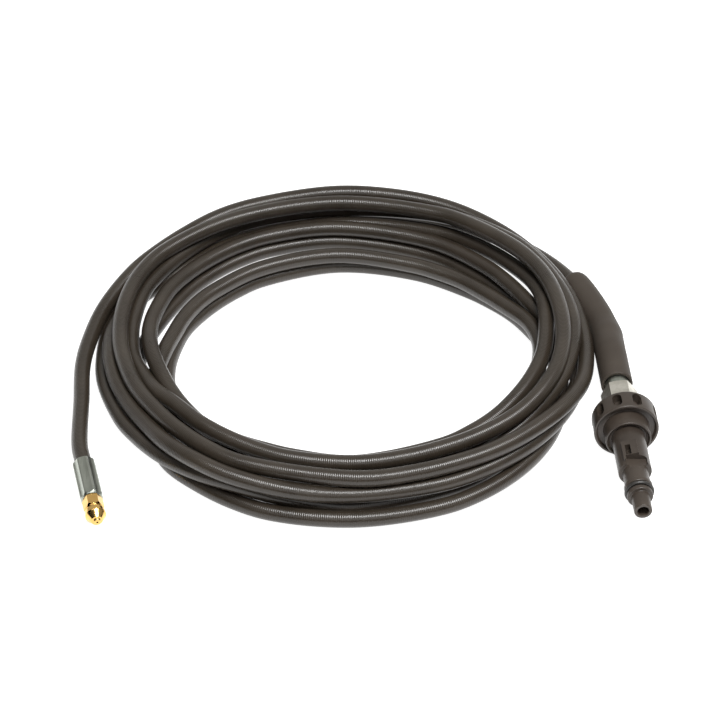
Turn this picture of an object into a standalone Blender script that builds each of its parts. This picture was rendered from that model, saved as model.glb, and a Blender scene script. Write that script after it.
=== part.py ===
"""Pipe cleaning jet hose, coiled and lying on the floor.

A thin high-pressure hose with a brass jet nozzle crimped on one end. The other end has a bend
sleeve, a crimped hexagon coupling and a plastic bayonet adapter for a spray gun.
Metres, +Z up, with the origin on the floor under the middle of the whole thing.
"""

import math

import bmesh
import bpy
from mathutils import Matrix, Vector

# Hose and coil
HOSE_OD = 0.010
COIL_MEAN_R = 0.1275
TURNS_ACROSS = 4
TURNS_HIGH = 3
PITCH_ACROSS = 1.27 * HOSE_OD
PITCH_HIGH = 1.20 * HOSE_OD
RIDGE_HALF_ANGLE = math.radians(55)
COIL_STEPS = 60
HOSE_SIDES = 3

# Left between pieces that touch, and between the coil and a hose end that leaves it
GAP = 0.0003
LEAD_CLEARANCE = 0.0008

# Jet end: crimped ferrule, hexagon nipple and brass nozzle
FERRULE_OD = 0.0137
FERRULE_LENGTH = 0.0325
FERRULE_WALL_FRONT = 0.008
FLUTES = 8
FLUTE_R = 0.0050
FLUTE_DEPTH = 0.0007
NIPPLE_AF = 0.011
NIPPLE_HEX_LENGTH = 0.0108
NIPPLE_SPIGOT_LENGTH = 0.0055
NOZZLE_OD = 0.0122
NOZZLE_LENGTH = 0.0095
NOZZLE_WALL = 0.0022
NOZZLE_GROOVE_DEPTH = 0.0009
NOZZLE_GROOVE_REAR = 0.0005
NOZZLE_GROOVE_FRONT = 0.0012
NOZZLE_CONE_LENGTH = 0.0050
NOZZLE_TIP_R = 0.0023
NOZZLE_TIP_LENGTH = 0.0012
JET_HOLE_R = 0.0006
WATER_BORE_R = 0.0018
TAIL_R = 0.0030
NOZZLE_YAW = math.radians(10)

# Inlet end: bend sleeve, hidden ferrule and hexagon coupling
SLEEVE_OD = 0.0192
SLEEVE_WALL = 0.0018
SLEEVE_LENGTH = 0.118
SLEEVE_MOUTH = 0.029
SLEEVE_SIDES = 6
INLET_FERRULE_LENGTH = 0.022
INLET_STRAIGHT = 0.014
COUPLING_AF = 0.019
COUPLING_HEX_LENGTH = 0.0217
COUPLING_TURN = math.radians(-7)
COUPLING_TAIL = 0.008
COUPLING_CHAMFER = 0.0016
SPIGOT_R = 0.0065
SPIGOT_LENGTH = 0.0125

# Bayonet adapter: hand wheel, boss, barrel, neck and nose
WHEEL_OD = 0.0385
WHEEL_THICKNESS = 0.014
WHEEL_DISH = 0.0026
WHEEL_LIP = 0.0022
BOSS_R = 0.0135
BOSS_FRONT = 0.0226
BOSS_DISH = 0.0022
BARREL_R = 0.00975
BARREL_FRONT = 0.051
NECK_R = 0.0075
COLLAR_R = 0.0083
COLLAR_REAR = 0.0628
SEAL_REAR = 0.0662
SEAL_GROOVE_WIDTH = 0.0034
SEAL_GROOVE_R = 0.0062
SEAL_SECTION_R = 0.0011
NOSE_BASE = 0.0725
NOSE_R = 0.0052
NOSE_TAPER = 0.0002
ADAPTER_LENGTH = 0.0844
ADAPTER_BORE_R = 0.00345
EDGE = 0.0007
FINE_EDGE = 0.0004

# Grip slots of the wheel, and the latch panel on the barrel's top
SLOT_PITCH = math.radians(30)
SLOT_GROUPS = 3
SLOTS_IN_GROUP = 3
SLOT_WIDTH = 0.0056
SLOT_LENGTH = 0.0100
SLOT_DEPTH = 0.0045
ADAPTER_TURN = math.radians(-12)
PANEL_WIDTH = 0.0091
PANEL_REAR = 0.0340
PANEL_FRONT = 0.0489
PANEL_RISE = 0.0008
PANEL_SUNK = 0.003
LATCH_WIDTH = 0.0035
LATCH_REAR = 0.0372
LATCH_LENGTH = 0.0085
LATCH_DEPTH = 0.0024
NOTCH_WIDTH = 0.0140
NOTCH_HEIGHT = 0.0050
NOTCH_LENGTH = 0.0030
NOTCH_TURN = math.radians(28)

COIL_HALF_WIDTH = (HOSE_OD + (TURNS_ACROSS - 1) * PITCH_ACROSS) / 2
COIL_OUTER_R = COIL_MEAN_R + COIL_HALF_WIDTH
HOSE_R = HOSE_OD / 2

# Where the ends lie: bearing from the coil's middle in degrees, and distance past its wall
NOZZLE_BEARING = 209.6
NOZZLE_STAND_OFF = 0.0311
ADAPTER_BEARING = -25.7
ADAPTER_STAND_OFF = 0.0280

# Routes of the two ends, chosen by hand: bearing in degrees, clear distance from the coil's wall
# to the hose, and height of the hose's underside above the floor
NOZZLE_ROUTE = [
    (148.0, LEAD_CLEARANCE, 0.0120),
    (161.0, LEAD_CLEARANCE, 0.0085),
    (174.0, 0.0014, 0.0050),
    (191.5, 0.0082, 0.0024),
]
INLET_ROUTE = [
    (74.0, LEAD_CLEARANCE, 0.0004),
    (60.0, 0.0026, 0.0004),
    (46.0, 0.0058, 0.0010),
    (35.0, 0.0066, 0.0026),
    (23.0, 0.0060, 0.0050),
    (5.0, 0.0060, 0.0082),
]

ROUTE_STEPS = 24
TURN_STEPS = 40
CUT_OVERRUN = 0.002

PARTS = "pipe_cleaning_jet_hose"
CUTTERS = "cutters"

RUBBER_BLACK = ((0.045, 0.040, 0.035, 1.0), 0.45, 0.0)
SLEEVE_BLACK = ((0.050, 0.045, 0.040, 1.0), 0.75, 0.0)
PLASTIC_BLACK = ((0.048, 0.041, 0.036, 1.0), 0.55, 0.0)
SEAL_BLACK = ((0.030, 0.028, 0.026, 1.0), 0.50, 0.0)
ZINC_GREY = ((0.34, 0.35, 0.32, 1.0), 0.35, 1.0)
NICKEL = ((0.72, 0.71, 0.66, 1.0), 0.30, 1.0)
BRASS_YELLOW = ((0.80, 0.52, 0.17, 1.0), 0.25, 1.0)


def clear_scene():
    for obj in list(bpy.data.objects):
        bpy.data.objects.remove(obj, do_unlink=True)


def new_collection(name):
    collection = bpy.data.collections.new(name)
    bpy.context.scene.collection.children.link(collection)
    return collection


def new_material(name, look):
    colour, roughness, metallic = look
    material = bpy.data.materials.new(name)
    material.use_nodes = True
    shader = material.node_tree.nodes["Principled BSDF"]
    shader.inputs["Base Color"].default_value = colour
    shader.inputs["Roughness"].default_value = roughness
    shader.inputs["Metallic"].default_value = metallic
    return material


def add_part(name, data, parent, look):
    obj = bpy.data.objects.new(name, data)
    bpy.data.collections[PARTS].objects.link(obj)
    obj.parent = parent
    data.materials.append(new_material(name, look))
    return obj


def add_cutter(name, mesh, parent):
    obj = bpy.data.objects.new(name, mesh)
    bpy.data.collections[CUTTERS].objects.link(obj)
    obj.parent = parent
    obj.hide_render = True
    obj.display_type = "WIRE"
    return obj


def add_boolean(obj, operation, other):
    modifier = obj.modifiers.new(other.name, "BOOLEAN")
    modifier.operation = operation
    modifier.object = other
    modifier.solver = "EXACT"


def outline_mesh(name, outline):
    """Closed outline in the XZ plane, to be turned about Z."""
    mesh = bpy.data.meshes.new(name)
    count = len(outline)
    edges = [(i, (i + 1) % count) for i in range(count)]
    mesh.from_pydata([(radius, 0.0, height) for radius, height in outline], edges, [])
    return mesh


def turned_part(name, outline, parent, look, steps):
    """Solid of revolution about the parent's Z, its outer side listed from front to rear."""
    obj = add_part(name, outline_mesh(name, outline), parent, look)
    screw = obj.modifiers.new("turn", "SCREW")
    screw.axis = "Z"
    screw.angle = math.tau
    screw.steps = steps
    screw.render_steps = steps
    screw.use_merge_vertices = True
    screw.merge_threshold = 0.00001
    screw.use_smooth_shade = True
    return obj


def hex_prism(name, across_flats, rear, front, turn, parent):
    mesh = bpy.data.meshes.new(name)
    bm = bmesh.new()
    middle = Matrix.Translation((0.0, 0.0, (rear + front) / 2))
    corner_r = across_flats / math.sqrt(3)
    bmesh.ops.create_cone(bm, cap_ends=True, segments=6, radius1=corner_r, radius2=corner_r,
                          depth=front - rear, matrix=middle @ Matrix.Rotation(turn, 4, "Z"))
    bm.to_mesh(mesh)
    bm.free()
    return add_cutter(name, mesh, parent)


def on_bearing(bearing, radius, height):
    angle = math.radians(bearing)
    return Vector((radius * math.cos(angle), radius * math.sin(angle), height))


def beside_coil(station):
    bearing, clear, underside = station
    return on_bearing(bearing, COIL_OUTER_R + clear + HOSE_R, underside + HOSE_R)


def curve_point(before, start, end, after, t):
    """Point at t between start and end on the smooth curve through all four."""
    slope_start = (end - before) / 2
    slope_end = (after - start) / 2
    return (start * (2 * t**3 - 3 * t**2 + 1) + slope_start * (t**3 - 2 * t**2 + t)
            + end * (3 * t**2 - 2 * t**3) + slope_end * (t**3 - t**2))


def smooth_route(points):
    """Fine points along the smooth curve through a route's own points."""
    fine = []
    for i in range(len(points) - 1):
        before = points[max(i - 1, 0)]
        after = points[min(i + 2, len(points) - 1)]
        for k in range(ROUTE_STEPS):
            fine.append(curve_point(before, points[i], points[i + 1], after, k / ROUTE_STEPS))
    fine.append(points[-1])
    return fine


def route_length(fine):
    return sum((b - a).length for a, b in zip(fine, fine[1:]))


def point_at(fine, distance):
    for a, b in zip(fine, fine[1:]):
        step = (b - a).length
        if distance <= step:
            return a.lerp(b, distance / step)
        distance -= step
    return fine[-1]


def even_points(fine, start, end, spacing):
    count = max(2, round((end - start) / spacing))
    return [point_at(fine, start + (end - start) * k / count) for k in range(count + 1)]


def tube_curve(name, points, radius, resolution, capped):
    curve = bpy.data.curves.new(name, "CURVE")
    curve.dimensions = "3D"
    curve.bevel_depth = radius
    curve.bevel_resolution = resolution
    curve.use_fill_caps = capped
    spline = curve.splines.new("POLY")
    spline.points.add(len(points) - 1)
    for spline_point, point in zip(spline.points, points):
        spline_point.co = (*point, 1.0)
    spline.use_smooth = True
    return curve


def coil_outline():
    """Section of the coil, its faces ridged by the turns that lie side by side in them."""
    low_r = COIL_OUTER_R - 2 * COIL_HALF_WIDTH + HOSE_R
    quarter = math.pi / 2
    across = [low_r + k * PITCH_ACROSS for k in range(TURNS_ACROSS)]
    up = [HOSE_R + k * PITCH_HIGH for k in range(TURNS_HIGH)]
    outer = [(across[-1], z) for z in reversed(up)]
    bottom = [(r, up[0]) for r in reversed(across)]
    inner = [(across[0], z) for z in up]
    top = [(r, up[-1]) for r in across]
    outline = []
    for side, turns in enumerate((outer, bottom, inner, top)):
        facing = -side * quarter
        for place, (r, z) in enumerate(turns[:-1]):
            corner = place == 0
            first = facing + RIDGE_HALF_ANGLE + (quarter if corner else 0.0)
            last = facing - RIDGE_HALF_ANGLE
            steps = 4 if corner else 2
            for k in range(steps + 1):
                angle = first + (last - first) * k / steps
                outline.append((r + HOSE_R * math.cos(angle), z + HOSE_R * math.sin(angle)))
    return outline


def make_coil(root):
    return turned_part("hose_coil", coil_outline(), root, RUBBER_BLACK, COIL_STEPS)


def nozzle_place():
    place = on_bearing(NOZZLE_BEARING, COIL_OUTER_R + NOZZLE_STAND_OFF, FERRULE_OD / 2)
    turn = Matrix.Rotation(NOZZLE_YAW, 4, "Z") @ Matrix.Rotation(math.pi / 2, 4, "X")
    return Matrix.Translation(place) @ turn


def adapter_place():
    place = on_bearing(ADAPTER_BEARING, COIL_OUTER_R + ADAPTER_STAND_OFF, WHEEL_OD / 2)
    return Matrix.Translation(place) @ Matrix.Rotation(math.pi / 2, 4, "X")


def coupling_rear():
    return -GAP - COUPLING_HEX_LENGTH


def nozzle_lead_route():
    """From the coil's wall into the nozzle's ferrule."""
    place = nozzle_place()
    hose_end = FERRULE_LENGTH - FERRULE_WALL_FRONT - GAP
    straight = [place @ Vector((0.0, 0.0, z)) for z in (-0.016, 0.0, hose_end / 2, hose_end)]
    return smooth_route([beside_coil(station) for station in NOZZLE_ROUTE] + straight)


def inlet_route():
    """From the coil's wall through the bend sleeve to the coupling's rear face."""
    place = adapter_place()
    face = coupling_rear()
    cup = INLET_FERRULE_LENGTH
    runs = (cup + INLET_STRAIGHT, cup + COUPLING_CHAMFER, cup / 2, 0.0)
    straight = [place @ Vector((0.0, 0.0, face - run)) for run in runs]
    return smooth_route([beside_coil(station) for station in INLET_ROUTE] + straight)


def make_lead(name, fine, length, root):
    points = even_points(fine, 0.0, length, 2 * HOSE_OD)
    return add_part(name, tube_curve(name, points, HOSE_R, HOSE_SIDES, True), root, RUBBER_BLACK)


def make_nozzle_ferrule(place):
    """Crimped cup on the hose's end, pressed into flutes by the jaws."""
    radius = FERRULE_OD / 2
    bore = HOSE_R + GAP
    cup_end = FERRULE_LENGTH - FERRULE_WALL_FRONT
    tail_hole = TAIL_R + GAP
    outline = [
        (tail_hole, FERRULE_LENGTH), (radius - EDGE, FERRULE_LENGTH), (radius, FERRULE_LENGTH - EDGE),
        (radius, EDGE), (radius - EDGE, 0.0), (bore, 0.0), (bore, cup_end), (tail_hole, cup_end),
    ]
    ferrule = turned_part("nozzle_ferrule", outline, place, ZINC_GREY, TURN_STEPS)
    mesh = bpy.data.meshes.new("ferrule_flutes")
    bm = bmesh.new()
    reach = radius - FLUTE_DEPTH + FLUTE_R
    for k in range(FLUTES):
        around = Matrix.Rotation(math.tau * k / FLUTES, 4, "Z")
        spot = Matrix.Translation((reach, 0.0, FERRULE_LENGTH / 2))
        bmesh.ops.create_cone(bm, cap_ends=True, segments=28, radius1=FLUTE_R, radius2=FLUTE_R,
                              depth=FERRULE_LENGTH + 2 * CUT_OVERRUN, matrix=around @ spot)
    bm.to_mesh(mesh)
    bm.free()
    add_boolean(ferrule, "DIFFERENCE", add_cutter("ferrule_flutes", mesh, place))
    return ferrule


def make_nipple(place):
    """Hexagon between ferrule and nozzle, with a tail in the ferrule and a spigot in the nozzle."""
    rear = FERRULE_LENGTH + GAP
    front = rear + NIPPLE_HEX_LENGTH
    corner = NIPPLE_AF / math.sqrt(3)
    tail_end = FERRULE_LENGTH - FERRULE_WALL_FRONT
    spigot_end = front + NIPPLE_SPIGOT_LENGTH
    spigot = NOZZLE_OD / 2 - NOZZLE_WALL - GAP
    outline = [
        (WATER_BORE_R, spigot_end), (spigot, spigot_end), (spigot, front), (corner - EDGE, front),
        (corner, front - EDGE), (corner, rear + EDGE), (corner - EDGE, rear), (TAIL_R, rear),
        (TAIL_R, tail_end), (WATER_BORE_R, tail_end),
    ]
    nipple = turned_part("nozzle_nipple", outline, place, BRASS_YELLOW, TURN_STEPS)
    prism = hex_prism("nipple_flats", NIPPLE_AF, tail_end - CUT_OVERRUN, spigot_end + CUT_OVERRUN,
                      0.0, place)
    add_boolean(nipple, "INTERSECT", prism)
    return nipple


def make_jet_nozzle(place):
    """Bullet-shaped nozzle with a groove behind its shoulder and a small raised nose."""
    rear = FERRULE_LENGTH + 2 * GAP + NIPPLE_HEX_LENGTH
    front = rear + NOZZLE_LENGTH
    radius = NOZZLE_OD / 2
    groove = radius - NOZZLE_GROOVE_DEPTH
    tip_rear = front - NOZZLE_TIP_LENGTH
    cone_rear = front - NOZZLE_CONE_LENGTH
    socket = radius - NOZZLE_WALL
    socket_end = rear + NIPPLE_SPIGOT_LENGTH
    outline = [
        (JET_HOLE_R, front), (NOZZLE_TIP_R - FINE_EDGE, front), (NOZZLE_TIP_R, front - FINE_EDGE),
        (NOZZLE_TIP_R, tip_rear), (radius * 0.57, tip_rear - 0.0002), (radius * 0.75, tip_rear - 0.0012),
        (radius - FINE_EDGE, cone_rear + EDGE), (radius, cone_rear),
        (radius, rear + NOZZLE_GROOVE_FRONT + EDGE), (radius - FINE_EDGE, rear + NOZZLE_GROOVE_FRONT),
        (groove, rear + NOZZLE_GROOVE_FRONT), (groove, rear + NOZZLE_GROOVE_REAR),
        (radius - FINE_EDGE, rear), (socket, rear), (socket, socket_end),
        (JET_HOLE_R, socket_end + FINE_EDGE),
    ]
    return turned_part("jet_nozzle", outline, place, BRASS_YELLOW, TURN_STEPS)


def make_bend_sleeve(fine, root):
    """Thick rubber tube over the hose's last stretch, along the hose's own route."""
    mouth = route_length(fine) - (coupling_rear() + SLEEVE_MOUTH)
    points = even_points(fine, mouth - SLEEVE_LENGTH, mouth, SLEEVE_OD / 2)
    middle = SLEEVE_OD / 2 - SLEEVE_WALL / 2
    curve = tube_curve("bend_sleeve", points, middle, SLEEVE_SIDES, False)
    sleeve = add_part("bend_sleeve", curve, root, SLEEVE_BLACK)
    shell = sleeve.modifiers.new("wall", "SOLIDIFY")
    shell.thickness = SLEEVE_WALL
    shell.offset = 0.0
    return sleeve


def make_inlet_ferrule(place):
    """Plain crimped cup inside the sleeve, on the hose's inlet end."""
    front = coupling_rear() - GAP
    rear = front - INLET_FERRULE_LENGTH
    radius = SLEEVE_OD / 2 - SLEEVE_WALL - GAP
    bore = HOSE_R + GAP
    cup_end = coupling_rear() - COUPLING_TAIL
    tail_hole = TAIL_R + GAP
    outline = [
        (tail_hole, front), (radius - EDGE, front), (radius, front - EDGE), (radius, rear + EDGE),
        (radius - EDGE, rear), (bore, rear), (bore, cup_end), (tail_hole, cup_end),
    ]
    return turned_part("inlet_ferrule", outline, place, ZINC_GREY, TURN_STEPS)


def make_coupling(place):
    """Hexagon coupling, with a tail in the ferrule and a threaded spigot in the adapter."""
    front = -GAP
    rear = coupling_rear()
    corner = COUPLING_AF / math.sqrt(3)
    tail_end = rear - COUPLING_TAIL + GAP
    outline = [
        (WATER_BORE_R, SPIGOT_LENGTH), (SPIGOT_R - EDGE, SPIGOT_LENGTH),
        (SPIGOT_R, SPIGOT_LENGTH - EDGE), (SPIGOT_R, front), (corner, front),
        (corner, rear + COUPLING_CHAMFER / 2), (corner - COUPLING_CHAMFER, rear), (TAIL_R, rear),
        (TAIL_R, tail_end), (WATER_BORE_R, tail_end),
    ]
    coupling = turned_part("hex_coupling", outline, place, NICKEL, TURN_STEPS)
    prism = hex_prism("coupling_flats", COUPLING_AF, tail_end - CUT_OVERRUN,
                      SPIGOT_LENGTH + CUT_OVERRUN, COUPLING_TURN, place)
    add_boolean(coupling, "INTERSECT", prism)
    return coupling


def adapter_outline():
    wheel_r = WHEEL_OD / 2
    seal_front = SEAL_REAR + SEAL_GROOVE_WIDTH
    dish = WHEEL_THICKNESS - WHEEL_DISH
    socket_r = SPIGOT_R + GAP
    socket_end = SPIGOT_LENGTH + GAP
    return [
        (ADAPTER_BORE_R, ADAPTER_LENGTH), (NOSE_R - FINE_EDGE, ADAPTER_LENGTH),
        (NOSE_R, ADAPTER_LENGTH - FINE_EDGE), (NOSE_R + NOSE_TAPER, NOSE_BASE),
        (NECK_R - FINE_EDGE, NOSE_BASE), (NECK_R, NOSE_BASE - FINE_EDGE), (NECK_R, seal_front),
        (SEAL_GROOVE_R, seal_front), (SEAL_GROOVE_R, SEAL_REAR),
        (COLLAR_R - FINE_EDGE, SEAL_REAR), (COLLAR_R, SEAL_REAR - FINE_EDGE),
        (COLLAR_R, COLLAR_REAR + EDGE), (NECK_R, COLLAR_REAR), (NECK_R, BARREL_FRONT),
        (BARREL_R - EDGE, BARREL_FRONT), (BARREL_R, BARREL_FRONT - EDGE),
        (BARREL_R, BOSS_FRONT - BOSS_DISH), (BOSS_R - 2 * EDGE, BOSS_FRONT - BOSS_DISH / 2),
        (BOSS_R - EDGE, BOSS_FRONT), (BOSS_R, BOSS_FRONT - EDGE), (BOSS_R, dish),
        (wheel_r - WHEEL_LIP, dish), (wheel_r - 2 * EDGE, WHEEL_THICKNESS - FINE_EDGE),
        (wheel_r - EDGE, WHEEL_THICKNESS), (wheel_r, WHEEL_THICKNESS - EDGE),
        (wheel_r, EDGE), (wheel_r - EDGE, 0.0),
        (socket_r, 0.0), (socket_r, socket_end), (ADAPTER_BORE_R, socket_end + CUT_OVERRUN),
    ]


def add_slot_prism(bm, place):
    """Prism with half-round ends, its long way along Z and its depth along Y."""
    half_run = (SLOT_LENGTH - SLOT_WIDTH) / 2
    made = bmesh.ops.create_cone(bm, cap_ends=True, segments=12, radius1=SLOT_WIDTH / 2,
                                 radius2=SLOT_WIDTH / 2, depth=2 * SLOT_DEPTH)
    for vert in made["verts"]:
        vert.co.y += half_run if vert.co.y > 0 else -half_run
    upright = Matrix.Rotation(math.pi / 2, 4, "X")
    bmesh.ops.transform(bm, matrix=place @ upright, verts=made["verts"])


def add_box(bm, size, place):
    made = bmesh.ops.create_cube(bm, size=1.0)
    bmesh.ops.transform(bm, matrix=place @ Matrix.Diagonal((*size, 1.0)), verts=made["verts"])


def adapter_cutters(place):
    """Grip slots round the wheel, the latch slot in the panel and the notch before it."""
    mesh = bpy.data.meshes.new("adapter_cuts")
    bm = bmesh.new()
    group_turn = math.tau / SLOT_GROUPS
    for group in range(SLOT_GROUPS):
        for k in range(SLOTS_IN_GROUP):
            turn = ADAPTER_TURN + group * group_turn + (k - (SLOTS_IN_GROUP - 1) / 2) * SLOT_PITCH
            spot = Matrix.Translation((0.0, WHEEL_OD / 2, WHEEL_THICKNESS / 2))
            add_slot_prism(bm, Matrix.Rotation(-turn, 4, "Z") @ spot)
    panel_top = BARREL_R + PANEL_RISE
    turn = Matrix.Rotation(-ADAPTER_TURN, 4, "Z")
    spot = Matrix.Translation((0.0, panel_top, LATCH_REAR + LATCH_LENGTH / 2))
    add_box(bm, (LATCH_WIDTH, 2 * LATCH_DEPTH, LATCH_LENGTH), turn @ spot)
    turn = Matrix.Rotation(-NOTCH_TURN, 4, "Z")
    spot = Matrix.Translation((0.0, NECK_R + (EDGE + NOTCH_HEIGHT) / 2, BARREL_FRONT))
    add_box(bm, (NOTCH_WIDTH, NOTCH_HEIGHT, 2 * NOTCH_LENGTH), turn @ spot)
    bm.to_mesh(mesh)
    bm.free()
    return add_cutter("adapter_cuts", mesh, place)


def latch_panel(place):
    """Raised plate on the barrel's top."""
    mesh = bpy.data.meshes.new("latch_panel")
    bm = bmesh.new()
    height = BARREL_R + (PANEL_RISE - PANEL_SUNK) / 2
    spot = Matrix.Translation((0.0, height, (PANEL_REAR + PANEL_FRONT) / 2))
    size = (PANEL_WIDTH, PANEL_RISE + PANEL_SUNK, PANEL_FRONT - PANEL_REAR)
    add_box(bm, size, Matrix.Rotation(-ADAPTER_TURN, 4, "Z") @ spot)
    bm.to_mesh(mesh)
    bm.free()
    return add_cutter("latch_panel", mesh, place)


def make_adapter(place):
    adapter = turned_part("bayonet_adapter", adapter_outline(), place, PLASTIC_BLACK, TURN_STEPS)
    add_boolean(adapter, "UNION", latch_panel(place))
    add_boolean(adapter, "DIFFERENCE", adapter_cutters(place))
    return adapter


def make_seal_ring(place):
    """Rubber ring in the groove behind the nose."""
    centre_r = SEAL_GROOVE_R + GAP + SEAL_SECTION_R
    centre_z = SEAL_REAR + SEAL_GROOVE_WIDTH / 2
    steps = 10
    outline = []
    for k in range(steps):
        angle = math.pi / 2 - math.tau * k / steps
        outline.append((centre_r + SEAL_SECTION_R * math.cos(angle),
                        centre_z + SEAL_SECTION_R * math.sin(angle)))
    return turned_part("seal_ring", outline, place, SEAL_BLACK, TURN_STEPS)


def add_empty(name, matrix, parent):
    empty = bpy.data.objects.new(name, None)
    bpy.data.collections[PARTS].objects.link(empty)
    empty.parent = parent
    empty.matrix_local = matrix
    return empty


def centre_on_floor(root, parts):
    """Moves the whole thing so that the origin is under the middle of its outer box."""
    bpy.context.view_layer.update()
    graph = bpy.context.evaluated_depsgraph_get()
    points = []
    for part in parts:
        shape = part.evaluated_get(graph)
        points += [shape.matrix_world @ vertex.co for vertex in shape.to_mesh().vertices]
        shape.to_mesh_clear()
    low = Vector(min(point[axis] for point in points) for axis in range(3))
    high = Vector(max(point[axis] for point in points) for axis in range(3))
    middle = (low + high) / 2
    root.location = (-middle.x, -middle.y, -low.z)


def build():
    clear_scene()
    new_collection(PARTS)
    new_collection(CUTTERS)
    root = add_empty("hose_root", Matrix.Identity(4), None)
    nozzle_end = add_empty("nozzle_end", nozzle_place(), root)
    inlet_end = add_empty("inlet_end", adapter_place(), root)
    nozzle_route = nozzle_lead_route()
    inlet = inlet_route()
    inlet_length = route_length(inlet) - COUPLING_TAIL - GAP
    parts = [
        make_coil(root),
        make_lead("hose_nozzle_lead", nozzle_route, route_length(nozzle_route), root),
        make_lead("hose_inlet_lead", inlet, inlet_length, root),
        make_nozzle_ferrule(nozzle_end),
        make_nipple(nozzle_end),
        make_jet_nozzle(nozzle_end),
        make_bend_sleeve(inlet, root),
        make_inlet_ferrule(inlet_end),
        make_coupling(inlet_end),
        make_adapter(inlet_end),
        make_seal_ring(inlet_end),
    ]
    centre_on_floor(root, parts)


build()
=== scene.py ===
"""Pipe cleaning jet hose, coiled on a pale table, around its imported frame.

The file follows the hose from its coil out to the two ends: hose, crimped ferrule, brass
nozzle, bend sleeve, hexagon coupling and bayonet adapter. Metres, +Z up.
"""

import math

import bmesh
import bpy
import numpy as np
from mathutils import Matrix, Vector


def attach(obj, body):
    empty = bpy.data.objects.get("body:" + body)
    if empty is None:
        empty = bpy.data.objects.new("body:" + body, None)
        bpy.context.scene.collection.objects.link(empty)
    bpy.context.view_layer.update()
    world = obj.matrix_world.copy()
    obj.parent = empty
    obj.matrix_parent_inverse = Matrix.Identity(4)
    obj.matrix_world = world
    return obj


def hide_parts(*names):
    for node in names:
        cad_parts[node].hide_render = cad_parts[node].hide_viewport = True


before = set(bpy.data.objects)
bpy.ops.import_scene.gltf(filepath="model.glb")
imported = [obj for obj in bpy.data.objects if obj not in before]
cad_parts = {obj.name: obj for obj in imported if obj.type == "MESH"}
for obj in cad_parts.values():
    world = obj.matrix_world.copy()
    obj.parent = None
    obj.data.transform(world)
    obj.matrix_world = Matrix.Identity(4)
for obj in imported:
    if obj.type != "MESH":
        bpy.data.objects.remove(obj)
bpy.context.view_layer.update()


# Table, studio light and camera: a white table that glows faintly, under one soft box overhead to
# the front right and a weak wide one in front, between dim walls that grow brighter at the back.

COIL_CENTRE = Vector((-0.00704, 0.00310, 0.0))
VIEW_DISTANCE = 1.62
VIEW_ELEVATION = math.radians(39.3)
VIEW_TURN = math.radians(-3.0)
VIEW_SCALE = 0.000620
PICTURE = 720
COIL_SHOWS_AT = (345.0, 367.0)


def link(obj):
    bpy.context.scene.collection.objects.link(obj)
    return obj


def add_camera():
    ahead = Vector((-math.sin(VIEW_TURN), math.cos(VIEW_TURN), 0.0)) * math.cos(VIEW_ELEVATION)
    ahead.z = -math.sin(VIEW_ELEVATION)
    data = bpy.data.cameras.new("studio_camera")
    data.sensor_width = 36.0
    data.lens = data.sensor_width * VIEW_DISTANCE / VIEW_SCALE / PICTURE
    data.shift_x = (PICTURE / 2 - COIL_SHOWS_AT[0]) / PICTURE
    data.shift_y = (COIL_SHOWS_AT[1] - PICTURE / 2) / PICTURE
    camera = link(bpy.data.objects.new("studio_camera", data))
    camera.location = COIL_CENTRE - ahead * VIEW_DISTANCE
    camera.rotation_euler = ahead.to_track_quat("-Z", "Y").to_euler()
    bpy.context.scene.camera = camera


def add_soft_box(name, place, width, depth, power):
    data = bpy.data.lights.new(name, "AREA")
    data.shape = "RECTANGLE"
    data.size = width
    data.size_y = depth
    data.energy = power
    light = link(bpy.data.objects.new(name, data))
    light.location = place
    light.rotation_euler = (COIL_CENTRE - Vector(place)).to_track_quat("-Z", "Y").to_euler()


def add_table():
    mesh = bpy.data.meshes.new("table_top")
    half = 6.0
    mesh.from_pydata([(-half, -half, 0), (half, -half, 0), (half, half, 0), (-half, half, 0)],
                     [], [(0, 1, 2, 3)])
    table = link(bpy.data.objects.new("table_top", mesh))
    table.location.z = -0.0002
    material = bpy.data.materials.new("pale_table")
    material.use_nodes = True
    shader = material.node_tree.nodes["Principled BSDF"]
    shader.inputs["Base Color"].default_value = (0.45, 0.45, 0.45, 1.0)
    shader.inputs["Roughness"].default_value = 0.9
    shader.inputs["Emission Color"].default_value = (1.0, 1.0, 1.0, 1.0)
    shader.inputs["Emission Strength"].default_value = 0.95
    mesh.materials.append(material)


def light_room():
    """Dim walls that grow brighter towards the ceiling, the back and the right."""
    world = bpy.data.worlds.new("pale_room")
    bpy.context.scene.world = world
    world.use_nodes = True
    nodes, links = world.node_tree.nodes, world.node_tree.links
    nodes["Background"].inputs["Color"].default_value = (1.0, 0.985, 0.955, 1.0)
    way = nodes.new("ShaderNodeTexCoord")
    parts = nodes.new("ShaderNodeSeparateXYZ")
    links.new(way.outputs["Generated"], parts.inputs[0])
    rise = nodes.new("ShaderNodeMapRange")
    rise.interpolation_type = "SMOOTHSTEP"
    for name, value in (("From Min", 0.02), ("From Max", 0.60), ("To Min", 0.18), ("To Max", 0.26)):
        rise.inputs[name].default_value = value
    links.new(parts.outputs["Z"], rise.inputs["Value"])
    lean = nodes.new("ShaderNodeVectorMath")
    lean.operation = "DOT_PRODUCT"
    lean.inputs[1].default_value = (0.08, 0.46, 0.0)
    links.new(way.outputs["Generated"], lean.inputs[0])
    both = nodes.new("ShaderNodeMath")
    links.new(rise.outputs[0], both.inputs[0])
    links.new(lean.outputs["Value"], both.inputs[1])
    links.new(both.outputs[0], nodes["Background"].inputs["Strength"])
    bpy.context.scene.view_settings.view_transform = "Standard"


add_camera()
add_table()
light_room()
add_soft_box("overhead_soft_box", (0.45, -0.75, 2.1), 1.05, 0.62, 70.0)
add_soft_box("front_fill", (0.0, -1.75, 1.25), 2.0, 1.1, 11.5)


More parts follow.
